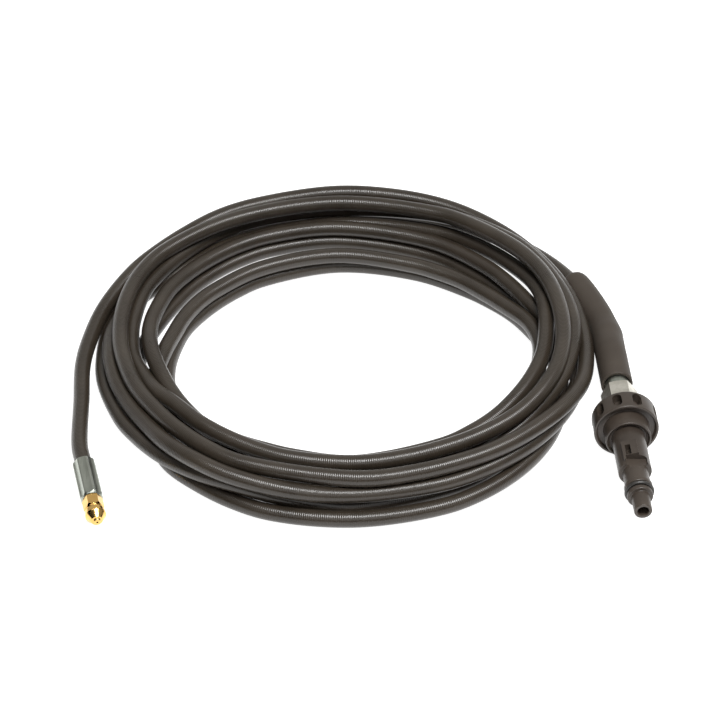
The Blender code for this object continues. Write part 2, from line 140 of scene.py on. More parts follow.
# Hose: ten millimetres over a black rubber cover that keeps the fine cross ribs of its cloth
# wrap. Eight loose turns lie in and across each other; the first comes from the gun's adapter
# on the right, the last leaves to the brass nozzle on the left.

HOSE_DIAMETER = 0.010
HOSE_RADIUS = HOSE_DIAMETER / 2
RIB_PITCH = 0.0012
RUBBER_DARK = (0.019, 0.0145, 0.0102)
RUBBER_LIGHT = (0.038, 0.0300, 0.0218)

COUPLING_REAR = Vector((0.15475, -0.05276, 0.01925))
NOZZLE_END = Vector((-0.16585, -0.08712, 0.00685))
NOZZLE_AXIS = Vector((0.17365, -0.98481, 0.0))

# Each line is bearing in degrees, radius and height of the hose's middle in millimetres.
FROM_ADAPTER = [
    (5.0, 162.6, 13.2), (23.0, 162.6, 10.0), (35.0, 163.2, 7.6), (46.0, 162.4, 6.0),
    (60.0, 159.2, 5.4), (74.0, 157.4, 5.4),
]
TURNS = [
    [(90, 155.6, 5), (120, 152.2, 5), (150, 149, 5), (180, 146.5, 5.3), (200, 145.6, 8.3),
     (210, 145.4, 11), (220, 145.4, 13.8), (230, 143.4, 15), (240, 140.5, 14.8),
     (250, 137.5, 11), (260, 135.3, 7.2), (270, 133.8, 5), (300, 132.5, 5), (320, 131.5, 6),
     (330, 131, 9), (345, 131, 13.7), (360, 130.5, 15)],
    [(10, 127, 15.2), (20, 123.6, 15), (30, 122.5, 15), (40, 122.4, 15), (60, 123.2, 15),
     (90, 125, 15), (110, 126, 15), (120, 126.2, 15), (130, 125.3, 15.5), (140, 124.8, 16),
     (150, 124.4, 16.8), (160, 122.8, 17.8), (170, 121.9, 19.2), (180, 120.2, 20.5),
     (190, 117.8, 19.3), (200, 115.5, 16.5), (210, 113.6, 14.5), (220, 112.4, 13.6),
     (230, 108.6, 12.8), (240, 105.2, 12.4), (250, 104, 12.4), (270, 104.8, 12.5),
     (300, 107.2, 14), (310, 109.8, 15.5), (320, 112.5, 17), (330, 115.4, 19.5),
     (340, 118.7, 21.5), (350, 121.8, 23), (360, 124.2, 24.5)],
    [(10, 127.8, 24.8), (20, 131.6, 22.5), (30, 133.2, 19.5), (45, 134.2, 17), (60, 134, 15.5),
     (90, 137, 10.5), (120, 138.8, 8.6), (150, 143, 8.8), (160, 146, 10), (170, 147.2, 12.5),
     (180, 145, 15), (190, 142.7, 15.5), (200, 140.2, 16.5), (210, 139.9, 19), (220, 142.8, 22.5),
     (230, 144.4, 24.5), (240, 143.2, 22.5), (255, 139.2, 18.5), (270, 135.1, 15),
     (290, 136.5, 15), (300, 138.2, 15), (310, 140, 15), (320, 142, 15), (330, 143.8, 15),
     (340, 145, 14.5), (350, 144, 9.5), (360, 141, 6)],
    [(10, 132.5, 5), (20, 126, 5), (30, 121.3, 5), (40, 120, 5), (60, 121.2, 5), (90, 124, 5),
     (110, 124.7, 5), (120, 124.4, 5), (130, 123.6, 5), (140, 122.8, 5), (150, 122.2, 5),
     (160, 123.2, 5), (170, 126, 5), (180, 128.3, 5), (190, 130, 5), (200, 132.5, 5),
     (210, 136, 5), (220, 141.5, 5), (230, 142.6, 5), (240, 143.9, 5), (250, 144.6, 5),
     (270, 144, 5), (290, 144.9, 5), (300, 144.8, 5), (310, 143.8, 5), (320, 142.3, 5),
     (330, 139.8, 5), (345, 134.5, 5), (360, 127.5, 5)],
    [(10, 121.4, 5), (20, 116.5, 5), (30, 110.7, 5), (40, 106, 5), (60, 100.5, 5), (90, 98.1, 5),
     (120, 98.5, 5), (130, 99.4, 5), (140, 100.8, 5), (150, 103.1, 5), (160, 106.1, 5),
     (170, 108.2, 5), (180, 111, 5), (190, 113.3, 5), (200, 114.5, 5), (210, 114, 5),
     (240, 112.8, 5), (270, 113, 5), (300, 113, 5), (330, 116, 8), (345, 119, 11), (360, 121.5, 13)],
    [(10, 118.3, 14), (20, 109.7, 14.8), (30, 104, 15), (40, 100.6, 15), (50, 97.4, 15),
     (60, 95.2, 15), (90, 95.5, 14.6), (120, 97.1, 14.8), (140, 99.8, 14.8), (150, 102.2, 14.8),
     (160, 104.2, 14.8), (170, 106.2, 14.8), (180, 110.8, 14.2), (190, 117.5, 11), (200, 122, 8),
     (210, 124, 5.3), (240, 123, 5), (270, 123, 5), (300, 123.5, 8.5), (320, 127, 15),
     (330, 130.5, 18.5), (345, 136.5, 22), (360, 141.5, 24)],
    [(10, 143, 24.5), (20, 143.3, 25.2), (30, 144.3, 25.6), (40, 145.4, 25), (60, 145.5, 22.5),
     (90, 145.5, 15.8), (120, 146.2, 15.8), (150, 142.5, 14), (165, 138, 12.5), (180, 131.8, 13.5),
     (190, 127, 17), (200, 124.8, 21.5), (210, 119.6, 22.8), (220, 118, 23), (230, 115.4, 21.5),
     (240, 113.4, 20), (250, 112.6, 19.3), (270, 112.3, 19), (285, 113.8, 20), (300, 117.4, 21),
     (310, 122, 22.5), (320, 126.8, 24), (330, 130.5, 26), (340, 133, 28), (350, 133.6, 30),
     (360, 133.6, 32)],
    [(10, 134, 32.5), (20, 135, 32.3), (30, 135.3, 31.8), (40, 134.9, 30.7), (50, 135.1, 29.8),
     (60, 136.3, 28.4), (90, 137.9, 26), (120, 140.9, 25.8), (140, 143.9, 25), (150, 144, 24),
     (160, 141.9, 23), (170, 139.3, 22.3), (180, 136.8, 22), (190, 134.3, 22), (200, 132.9, 22.3),
     (210, 132.3, 23.5), (220, 132.4, 24.5), (230, 133.1, 25), (240, 133.2, 25),
     (270, 132.3, 25), (285, 133, 25), (300, 135.8, 25), (310, 138.9, 25), (320, 142, 25),
     (330, 146.2, 25), (340, 148, 22), (350, 147.4, 19.5), (360, 147, 17.5)],
    [(15, 148.2, 17.7), (30, 150, 18), (45, 151.6, 19.5), (60, 151.5, 22), (75, 149.6, 24),
     (90, 148.4, 25.5), (110, 148.6, 24.8), (120, 148.6, 25), (130, 149, 23), (140, 151, 20.5)],
]
TO_NOZZLE = [
    (148, 154.0, 17.5), (161, 157, 13.5), (172, 159.2, 10.5), (180, 161.4, 8.9),
    (191.5, 164.9, 7.4),
]

# The hose is straight over these runs behind the coupling and along the nozzle's ferrule.
STRAIGHT_AT_ADAPTER = (0.0083, 0.011, 0.024, 0.036)
STRAIGHT_AT_NOZZLE = (-0.016, 0.0, 0.0121, 0.0242)

SETTLE_SPACING = 0.006
SETTLE_STEPS = 420
SETTLE_PUSH = 0.30
SEARCH_EVERY = 20
HELD_END = 0.20
FREED_OVER = 0.10
LINE_SPACING = 0.0025


def on_bearing(bearing, radius, height):
    angle = math.radians(bearing)
    flat = Vector((math.cos(angle), math.sin(angle), 0.0)) * radius
    return COIL_CENTRE + (flat + Vector((0.0, 0.0, height))) / 1000


def hand_route():
    """All stations of the hose in order, from inside the coupling to inside the nozzle's ferrule."""
    points = [COUPLING_REAR + Vector((0.0, run, 0.0)) for run in STRAIGHT_AT_ADAPTER]
    points += [on_bearing(*station) for station in FROM_ADAPTER]
    for turn in TURNS:
        points += [on_bearing(*station) for station in turn]
    points += [on_bearing(*station) for station in TO_NOZZLE]
    points += [NOZZLE_END + NOZZLE_AXIS * run for run in STRAIGHT_AT_NOZZLE]
    return np.array([tuple(point) for point in points])


def smooth_line(points, spacing):
    """Even points along the centripetal curve through the given ones."""
    ends = np.vstack([2 * points[0] - points[1], points, 2 * points[-1] - points[-2]])
    fine = []
    for p0, p1, p2, p3 in zip(ends, ends[1:], ends[2:], ends[3:]):
        k1 = np.linalg.norm(p1 - p0) ** 0.5
        k2 = k1 + np.linalg.norm(p2 - p1) ** 0.5
        k3 = k2 + np.linalg.norm(p3 - p2) ** 0.5
        t = np.linspace(k1, k2, 24, endpoint=False)[:, None]
        a1 = (k1 - t) / k1 * p0 + t / k1 * p1
        a2 = (k2 - t) / (k2 - k1) * p1 + (t - k1) / (k2 - k1) * p2
        a3 = (k3 - t) / (k3 - k2) * p2 + (t - k2) / (k3 - k2) * p3
        b1 = (k2 - t) / k2 * a1 + t / k2 * a2
        b2 = (k3 - t) / (k3 - k1) * a2 + (t - k1) / (k3 - k1) * a3
        fine.append((k2 - t) / (k2 - k1) * b1 + (t - k1) / (k2 - k1) * b2)
    fine = np.vstack(fine + [points[-1:]])
    run = np.concatenate([[0.0], np.cumsum(np.linalg.norm(np.diff(fine, axis=0), axis=1))])
    even = np.linspace(0.0, run[-1], int(round(run[-1] / spacing)) + 1)
    return np.stack([np.interp(even, run, fine[:, axis]) for axis in range(3)], axis=1)


def settle(line, spacing):
    """Pushes turns apart where they would run into each other, and up off the table."""
    count = len(line)
    near_self = int(2.5 * HOSE_DIAMETER / spacing)
    clear = HOSE_DIAMETER * 1.004
    from_end = np.minimum(np.arange(count), np.arange(count)[::-1]) * spacing
    free = np.clip((from_end - HELD_END) / FREED_OVER, 0, 1)
    start = line.copy()
    shift = np.zeros_like(line)
    for step in range(SETTLE_STEPS):
        place = start + shift
        if step % SEARCH_EVERY == 0:
            gaps = np.linalg.norm(place[:, None, :] - place[None, :, :], axis=2)
            a, b = np.nonzero(gaps < 1.9 * HOSE_DIAMETER)
            kept = b - a > near_self
            a, b = a[kept], b[kept]
        apart = place[a] - place[b]
        gap = np.linalg.norm(apart, axis=1)
        push = np.maximum(clear - gap, 0.0) * SETTLE_PUSH / np.maximum(gap, 1e-6)
        move = np.zeros_like(place)
        np.add.at(move, a, apart * push[:, None])
        np.add.at(move, b, -apart * push[:, None])
        shift += move
        shift[:, 2] = np.maximum(shift[:, 2], HOSE_RADIUS - start[:, 2])
        soft = shift.copy()
        soft[1:-1] = (shift[:-2] + 2 * shift[1:-1] + shift[2:]) / 4
        shift = soft * free[:, None] * 0.9995
    return start + shift


laid_line = smooth_line(hand_route(), SETTLE_SPACING)
hose_line = smooth_line(settle(laid_line, SETTLE_SPACING), LINE_SPACING)


def tree_input(tree, name, kind, value):
    socket = tree.interface.new_socket(name, in_out="INPUT", socket_type=kind)
    if value is not None:
        socket.default_value = value
    return socket.identifier


def sweep_tree():
    """Sweeps a round section along a curve and keeps the distance along it as an attribute."""
    tree = bpy.data.node_groups.new("round_sweep", "GeometryNodeTree")
    line_in = tree_input(tree, "Line", "NodeSocketGeometry", None)
    names = {
        "radius": tree_input(tree, "Radius", "NodeSocketFloat", HOSE_RADIUS),
        "sides": tree_input(tree, "Sides", "NodeSocketInt", 16),
        "material": tree_input(tree, "Material", "NodeSocketMaterial", None),
    }
    tree.interface.new_socket("Tube", in_out="OUTPUT", socket_type="NodeSocketGeometry")
    nodes, links = tree.nodes, tree.links
    entry = nodes.new("NodeGroupInput")
    run = nodes.new("GeometryNodeSplineParameter")
    keep = nodes.new("GeometryNodeStoreNamedAttribute")
    keep.data_type = "FLOAT"
    keep.domain = "POINT"
    keep.inputs["Name"].default_value = "along"
    links.new(entry.outputs["Line"], keep.inputs["Geometry"])
    links.new(run.outputs["Length"], keep.inputs["Value"])
    section = nodes.new("GeometryNodeCurvePrimitiveCircle")
    links.new(entry.outputs["Sides"], section.inputs["Resolution"])
    links.new(entry.outputs["Radius"], section.inputs["Radius"])
    tube = nodes.new("GeometryNodeCurveToMesh")
    tube.inputs["Fill Caps"].default_value = True
    links.new(keep.outputs["Geometry"], tube.inputs["Curve"])
    links.new(section.outputs["Curve"], tube.inputs["Profile Curve"])
    real = nodes.new("GeometryNodeRealizeInstances")
    links.new(tube.outputs["Mesh"], real.inputs["Geometry"])
    dress = nodes.new("GeometryNodeSetMaterial")
    links.new(real.outputs["Geometry"], dress.inputs["Geometry"])
    links.new(entry.outputs["Material"], dress.inputs["Material"])
    leave = nodes.new("NodeGroupOutput")
    links.new(dress.outputs["Geometry"], leave.inputs["Tube"])
    return tree, names


def plain_mesh(obj, name):
    """The evaluated object as a new plain mesh object; the old one is removed."""
    bpy.context.view_layer.update()
    graph = bpy.context.evaluated_depsgraph_get()
    mesh = bpy.data.meshes.new_from_object(obj.evaluated_get(graph), depsgraph=graph)
    mesh.name = name
    bpy.data.objects.remove(obj, do_unlink=True)
    return link(bpy.data.objects.new(name, mesh))


SWEEP, SWEEP_INPUTS = sweep_tree()


def swept_tube(name, line, radius, sides, material):
    curve = bpy.data.curves.new(name + "_line", "CURVE")
    curve.dimensions = "3D"
    spline = curve.splines.new("POLY")
    spline.points.add(len(line) - 1)
    for spline_point, point in zip(spline.points, line):
        spline_point.co = (*point, 1.0)
    rail = link(bpy.data.objects.new(name + "_line", curve))
    nodes = rail.modifiers.new("sweep", "NODES")
    nodes.node_group = SWEEP
    nodes[SWEEP_INPUTS["radius"]] = radius
    nodes[SWEEP_INPUTS["sides"]] = sides
    nodes[SWEEP_INPUTS["material"]] = material
    tube = plain_mesh(rail, name)
    for face in tube.data.polygons:
        face.use_smooth = len(face.vertices) == 4
    return tube


class Wire:
    """A shader socket that adds its own Math nodes when it is used in an expression."""

    def __init__(self, tree, socket):
        self.tree = tree
        self.socket = socket

    def math(self, operation, *others):
        node = self.tree.nodes.new("ShaderNodeMath")
        node.operation = operation
        for slot, value in zip(node.inputs, (self, *others)):
            if isinstance(value, Wire):
                self.tree.links.new(value.socket, slot)
            else:
                slot.default_value = value
        return Wire(self.tree, node.outputs[0])

    def __add__(self, other):
        return self.math("ADD", other)

    __radd__ = __add__

    def __sub__(self, other):
        return self.math("SUBTRACT", other)

    def __mul__(self, other):
        return self.math("MULTIPLY", other)


class Finish:
    """A material with its Principled shader, and one way to add any other node."""

    def __init__(self, name):
        self.material = bpy.data.materials.new(name)
        self.material.use_nodes = True
        self.tree = self.material.node_tree
        self.shader = self.tree.nodes["Principled BSDF"]

    def node(self, kind, settings=(), output=0, **values):
        node = self.tree.nodes.new(kind)
        for name, value in dict(settings).items():
            setattr(node, name, value)
        for name, value in values.items():
            self.feed(node.inputs[name.replace("_", " ")], value)
        return Wire(self.tree, node.outputs[output])

    def feed(self, slot, value):
        if isinstance(value, Wire):
            self.tree.links.new(value.socket, slot)
        else:
            slot.default_value = value

    def set(self, **values):
        for name, value in values.items():
            self.feed(self.shader.inputs[name.replace("_", " ")], value)
        return self

    def place(self):
        return self.node("ShaderNodeTexCoord", output="Object")

    def noise(self, scale, detail=3.0, rough=0.55, place=None):
        return self.node("ShaderNodeTexNoise", Vector=place or self.place(), Scale=scale,
                         Detail=detail, Roughness=rough)

    def blend(self, amount, first, second):
        node = self.tree.nodes.new("ShaderNodeMix")
        node.data_type = "RGBA"
        slots = [slot for slot in node.inputs if slot.enabled]
        for slot, value in zip(slots, (amount, first, second)):
            self.feed(slot, value)
        return Wire(self.tree, [slot for slot in node.outputs if slot.enabled][0])

    def bump(self, height, strength, distance):
        normal = self.node("ShaderNodeBump", Height=height, Strength=strength, Distance=distance)
        return self.set(Normal=normal)


def hose_rubber():
    look = Finish("hose_rubber")
    along = look.node("ShaderNodeAttribute", {"attribute_name": "along"}, output="Fac")
    ribs = (along * (math.tau / RIB_PITCH)).math("SINE") * 0.5 + 0.5
    cloth = look.noise(2600.0, 2.0)
    cloud = look.noise(38.0, 3.0)
    tone = (cloud - 0.5) * 1.6 + ribs * 0.25 + 0.35
    tone = tone.math("MINIMUM", 1.0).math("MAXIMUM", 0.0)
    colour = look.blend(tone, (*RUBBER_DARK, 1.0), (*RUBBER_LIGHT, 1.0))
    look.set(Base_Color=colour, Roughness=0.30 + (cloth - 0.5) * 0.12 + (cloud - 0.5) * 0.10)
    look.bump(ribs * 0.75 + cloth * 0.25, 0.55, 0.00022)
    look.set(Specular_IOR_Level=0.5)
    return look.material


hose = swept_tube("hose", hose_line, HOSE_RADIUS, 16, hose_rubber())
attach(hose, "root")
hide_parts("hose_coil", "hose_nozzle_lead", "hose_inlet_lead")


# Ferrule: a zinc-plated steel cup. Eight jaws have pressed flutes into it from end to end, which
# leaves a thin bright ridge between each two and a scalloped edge round its front.

GAP = 0.0003
FERRULE_OD = 0.0137
FERRULE_LENGTH = 0.0325
FERRULE_BORE = HOSE_RADIUS + GAP
FERRULE_MOUTH = 0.0033
FERRULE_FRONT_WALL = 0.008
FLUTES = 8
FLUTE_RADIUS = 0.0062
FLUTE_DEPTH = 0.00075
FLUTE_TURN = math.radians(9)
FLUTE_OVERRUN = 0.002
FINE_STEPS = 120

NOZZLE_PLACE = (Matrix.Translation(NOZZLE_END) @ Matrix.Rotation(math.radians(10), 4, "Z")
                @ Matrix.Rotation(math.radians(90), 4, "X"))


def rounded(corners, steps=4):
    """Closed outline with an arc at each corner, listed as radius, height and arc radius."""
    points = []
    for i, (radius, height, arc) in enumerate(corners):
        corner = Vector((radius, height))
        if not arc:
            points.append(corner)
            continue
        before = Vector(corners[i - 1][:2]) - corner
        after = Vector(corners[(i + 1) % len(corners)][:2]) - corner
        reach = arc / math.tan(before.angle(after) / 2)
        reach = min(reach, 0.48 * before.length, 0.48 * after.length)
        start = corner + before.normalized() * reach
        end = corner + after.normalized() * reach
        for step in range(steps + 1):
            t = step / steps
            points.append(start * (1 - t) ** 2 + corner * (2 * t * (1 - t)) + end * t**2)
    return points


def finish_mesh(obj, material=None, sharp=30):
    """Outward normals, smooth faces between sharp edges, and the material on all of it."""
    mesh = obj.data
    bm = bmesh.new()
    bm.from_mesh(mesh)
    bmesh.ops.remove_doubles(bm, verts=bm.verts, dist=1e-6)
    bmesh.ops.recalc_face_normals(bm, faces=bm.faces)
    bm.to_mesh(mesh)
    bm.free()
    if material:
        mesh.materials.clear()
        mesh.materials.append(material)
    for face in mesh.polygons:
        face.use_smooth = True
        face.material_index = 0
    mesh.set_sharp_from_angle(angle=math.radians(sharp))
    return obj


def turned(name, outline, place, steps=FINE_STEPS):
    """Solid of revolution about the place's Z, from a closed outline of radius and height."""
    rings = len(outline)
    points = []
    for step in range(steps):
        angle = math.tau * step / steps
        for radius, height in outline:
            points.append(place @ Vector((radius * math.cos(angle), radius * math.sin(angle), height)))
    faces = []
    for step in range(steps):
        here, there = step * rings, (step + 1) % steps * rings
        for i in range(rings):
            j = (i + 1) % rings
            faces.append((here + i, here + j, there + j, there + i))
    mesh = bpy.data.meshes.new(name)
    mesh.from_pydata(points, [], faces)
    return link(bpy.data.objects.new(name, mesh))


def prism(name, flat, low, high, place):
    """Closed prism over a flat outline in the place's XY."""
    count = len(flat)
    points = [place @ Vector((x, y, height)) for height in (low, high) for x, y in flat]
    sides = [(i, (i + 1) % count, count + (i + 1) % count, count + i) for i in range(count)]
    ends = [tuple(reversed(range(count))), tuple(range(count, 2 * count))]
    mesh = bpy.data.meshes.new(name)
    mesh.from_pydata(points, [], sides + ends)
    return link(bpy.data.objects.new(name, mesh))


def circle(radius, steps, start=0.0):
    turns = [start + math.tau * step / steps for step in range(steps)]
    return [(radius * math.cos(turn), radius * math.sin(turn)) for turn in turns]


def repeat_tree():
    """Copies of a piece turned about Z, a fixed angle apart."""
    tree = bpy.data.node_groups.new("copies_about_axis", "GeometryNodeTree")
    tree_input(tree, "Piece", "NodeSocketGeometry", None)
    names = {
        "count": tree_input(tree, "Count", "NodeSocketInt", 8),
        "pitch": tree_input(tree, "Pitch", "NodeSocketFloat", math.tau / 8),
        "first": tree_input(tree, "First", "NodeSocketFloat", 0.0),
        "material": tree_input(tree, "Material", "NodeSocketMaterial", None),
    }
    tree.interface.new_socket("Copies", in_out="OUTPUT", socket_type="NodeSocketGeometry")
    nodes, links = tree.nodes, tree.links
    entry = nodes.new("NodeGroupInput")
    spots = nodes.new("GeometryNodePoints")
    links.new(entry.outputs["Count"], spots.inputs["Count"])
    index = nodes.new("GeometryNodeInputIndex")
    turn = nodes.new("ShaderNodeMath")
    turn.operation = "MULTIPLY_ADD"
    links.new(index.outputs[0], turn.inputs[0])
    links.new(entry.outputs["Pitch"], turn.inputs[1])
    links.new(entry.outputs["First"], turn.inputs[2])
    about = nodes.new("ShaderNodeCombineXYZ")
    links.new(turn.outputs[0], about.inputs["Z"])
    copies = nodes.new("GeometryNodeInstanceOnPoints")
    links.new(spots.outputs[0], copies.inputs["Points"])
    links.new(entry.outputs["Piece"], copies.inputs["Instance"])
    links.new(about.outputs[0], copies.inputs["Rotation"])
    real = nodes.new("GeometryNodeRealizeInstances")
    links.new(copies.outputs[0], real.inputs["Geometry"])
    dress = nodes.new("GeometryNodeSetMaterial")
    links.new(real.outputs["Geometry"], dress.inputs["Geometry"])
    links.new(entry.outputs["Material"], dress.inputs["Material"])
    leave = nodes.new("NodeGroupOutput")
    links.new(dress.outputs["Geometry"], leave.inputs["Copies"])
    return tree, names


REPEAT, REPEAT_INPUTS = repeat_tree()


def repeated(piece, count, pitch, first, material):
    name = piece.name
    nodes = piece.modifiers.new("copies", "NODES")
    nodes.node_group = REPEAT
    nodes[REPEAT_INPUTS["count"]] = count
    nodes[REPEAT_INPUTS["pitch"]] = pitch
    nodes[REPEAT_INPUTS["first"]] = first
    nodes[REPEAT_INPUTS["material"]] = material
    return plain_mesh(piece, name + "_ring")


def cut(obj, other, operation):
    """Boolean with a helper solid, which is removed after."""
    finish_mesh(other)
    finish_mesh(obj)
    name = obj.name
    change = obj.modifiers.new("cut", "BOOLEAN")
    change.operation = operation
    change.object = other
    change.solver = "EXACT"
    made = plain_mesh(obj, name)
    bpy.data.objects.remove(other, do_unlink=True)
    return made


def zinc():
    look = Finish("zinc_plate")
    place = look.node("ShaderNodeMapping", {"vector_type": "POINT"}, Vector=look.place(),
                      Scale=(260.0, 26.0, 260.0))
    streaks = look.noise(3.0, 4.0, place=place)
    cloud = look.noise(220.0, 3.0)
    colour = look.blend(streaks * 0.7 + cloud * 0.3, (0.20, 0.22, 0.185, 1.0),
                        (0.52, 0.545, 0.49, 1.0))
    look.set(Base_Color=colour, Metallic=1.0, Roughness=0.24 + streaks * 0.18)
    look.bump(streaks * 0.6 + cloud * 0.4, 0.25, 0.0002)
    return look.material


ZINC = zinc()
body_radius = FERRULE_OD / 2
wall_end = FERRULE_LENGTH - FERRULE_FRONT_WALL
ferrule_outline = rounded([
    (FERRULE_MOUTH, FERRULE_LENGTH, 0), (body_radius - 0.0012, FERRULE_LENGTH, 0.0003),
    (body_radius, FERRULE_LENGTH - 0.0013, 0.0009), (body_radius, 0.0007, 0.0009),
    (body_radius - 0.0010, 0.0, 0.0003), (FERRULE_BORE, 0.0, 0.0002), (FERRULE_BORE, wall_end, 0),
    (FERRULE_MOUTH, wall_end, 0),
])
nozzle_ferrule = turned("jet_ferrule", ferrule_outline, Matrix.Identity(4))
reach = body_radius - FLUTE_DEPTH + FLUTE_RADIUS
flute_outline = [(x + reach, y) for x, y in circle(FLUTE_RADIUS, 64)]
flute = prism("flute", flute_outline, -FLUTE_OVERRUN, FERRULE_LENGTH + FLUTE_OVERRUN,
              Matrix.Identity(4))
flutes = repeated(flute, FLUTES, math.tau / FLUTES, FLUTE_TURN, ZINC)
nozzle_ferrule = cut(nozzle_ferrule, flutes, "DIFFERENCE")
nozzle_ferrule.data.transform(NOZZLE_PLACE)
finish_mesh(nozzle_ferrule, ZINC, sharp=24)
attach(nozzle_ferrule, "root")
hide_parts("nozzle_ferrule")


# Nipple: a turned brass stem with a hexagon of 10.6 millimetres, pressed into the ferrule and
# screwed into the nozzle. Its corners are chamfered at both ends.

NIPPLE_ACROSS = 0.0106
NIPPLE_HEX = 0.0080
NIPPLE_TURN = math.radians(2)
NIPPLE_BORE = 0.0018
SPIGOT_RADIUS = 0.0034
SPIGOT_LENGTH = 0.0052
STEM_RADIUS = 0.0030


def brass():
    look = Finish("bright_brass")
    fine = look.noise(900.0, 3.0)
    cloud = look.noise(160.0, 2.0)
    colour = look.blend(cloud, (0.68, 0.39, 0.105, 1.0), (0.90, 0.60, 0.22, 1.0))
    look.set(Base_Color=colour, Metallic=1.0, Roughness=0.15 + fine * 0.12)
    look.bump(fine, 0.12, 0.0001)
    return look.material


BRASS = brass()
nipple_rear = FERRULE_LENGTH + GAP
nipple_front = nipple_rear + NIPPLE_HEX
corner_radius = NIPPLE_ACROSS / math.sqrt(3)
spigot_end = nipple_front + SPIGOT_LENGTH
nipple = turned("brass_nipple", rounded([
    (NIPPLE_BORE, spigot_end, 0), (SPIGOT_RADIUS, spigot_end, 0.0003),
    (SPIGOT_RADIUS, nipple_front, 0), (corner_radius - 0.0009, nipple_front, 0.0002),
    (corner_radius + 0.0002, nipple_front - 0.0007, 0.0003),
    (corner_radius + 0.0002, nipple_rear + 0.0007, 0.0003),
    (corner_radius - 0.0009, nipple_rear, 0.0002), (STEM_RADIUS, nipple_rear, 0),
    (STEM_RADIUS, wall_end + GAP, 0), (NIPPLE_BORE, wall_end + GAP, 0),
]), Matrix.Identity(4))
flats = prism("nipple_flats", circle(corner_radius, 6, NIPPLE_TURN), 0.0, 0.1, Matrix.Identity(4))
nipple = cut(nipple, flats, "INTERSECT")
nipple.data.transform(NOZZLE_PLACE)
finish_mesh(nipple, BRASS, sharp=22)
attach(nipple, "root")
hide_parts("nozzle_nipple")


# Jet nozzle: turned brass, a round body with a groove behind its front band, a domed cone and a
# small raised nose round the front jet.

JET_OD = 0.0122
JET_LENGTH = 0.0110
JET_HOLE = 0.0006
JET_SOCKET_RADIUS = 0.0037
JET_SOCKET_DEPTH = 0.0055

jet_rear = nipple_front + GAP
jet_front = jet_rear + JET_LENGTH
jet_radius = JET_OD / 2
jet_nozzle = turned("brass_jet_nozzle", rounded([
    (JET_HOLE, jet_front, 0), (0.0019, jet_front, 0.0005), (0.0024, jet_front - 0.0012, 0.0004),
    (0.0033, jet_front - 0.0014, 0.0003), (0.0043, jet_front - 0.0030, 0.0020),
    (jet_radius - 0.0004, jet_front - 0.0052, 0.0006), (jet_radius, jet_front - 0.0056, 0.0004),
    (jet_radius - 0.0001, jet_rear + 0.0022, 0.0003), (jet_radius - 0.0013, jet_rear + 0.0018, 0.0002),
    (jet_radius - 0.0013, jet_rear + 0.0006, 0.0002), (jet_radius - 0.0007, jet_rear + 0.0002, 0.0002),
    (jet_radius - 0.0009, jet_rear, 0.0002), (JET_SOCKET_RADIUS, jet_rear, 0),
    (JET_SOCKET_RADIUS, jet_rear + JET_SOCKET_DEPTH, 0), (JET_HOLE, jet_rear + 0.0060, 0),
], steps=6), NOZZLE_PLACE)
finish_mesh(jet_nozzle, BRASS, sharp=34)
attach(jet_nozzle, "root")
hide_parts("jet_nozzle")


# Bend sleeve: a thick moulded rubber tube that lies over the hose's last stretch and bends with
# it. Its rear edge is soft and round, its mouth is cut square and leaves the coupling free.

SLEEVE_RADIUS = 0.0096
SLEEVE_WALL = 0.0018
SLEEVE_LENGTH = 0.118
SLEEVE_PAST_HOSE = 0.0013
SLEEVE_REAR_RADIUS = 0.0058
SLEEVE_REAR_BORE = 0.0055
SLEEVE_LINE_POINTS = 140


def bent(name, outline, line, steps=96):
    """Turned form laid along a line: each outline point is a radius and a run along the line."""
    runs = np.concatenate([[0.0], np.cumsum(np.linalg.norm(np.diff(line, axis=0), axis=1))])
    ahead = np.gradient(line, runs, axis=0)
    ahead /= np.linalg.norm(ahead, axis=1)[:, None]
    points = []
    for radius, run in outline:
        middle = np.array([np.interp(run, runs, line[:, axis]) for axis in range(3)])
        way = np.array([np.interp(run, runs, ahead[:, axis]) for axis in range(3)])
        middle += way * (min(run, 0.0) + max(run - runs[-1], 0.0))
        side = np.cross(way, (0.0, 0.0, 1.0))
        side /= np.linalg.norm(side)
        rise = np.cross(side, way)
        for step in range(steps):
            angle = math.tau * step / steps
            points.append(middle + radius * (math.cos(angle) * side + math.sin(angle) * rise))
    rings = len(outline)
    faces = []
    for i in range(rings):
        here, there = i * steps, (i + 1) % rings * steps
        for step in range(steps):
            after = (step + 1) % steps
            faces.append((here + step, here + after, there + after, there + step))
    mesh = bpy.data.meshes.new(name)
    mesh.from_pydata([tuple(point) for point in points], [], faces)
    return link(bpy.data.objects.new(name, mesh))


def sleeve_rubber():
    look = Finish("sleeve_rubber")
    grain = look.noise(1500.0, 3.0)
    cloud = look.noise(45.0, 3.0)
    colour = look.blend((cloud - 0.5) * 1.4 + 0.5, (0.032, 0.0245, 0.0185, 1.0),
                        (0.050, 0.040, 0.031, 1.0))
    look.set(Base_Color=colour, Roughness=0.62 + (cloud - 0.5) * 0.2, Specular_IOR_Level=0.35)
    look.bump(grain * 0.7 + cloud * 0.3, 0.22, 0.0002)
    return look.material


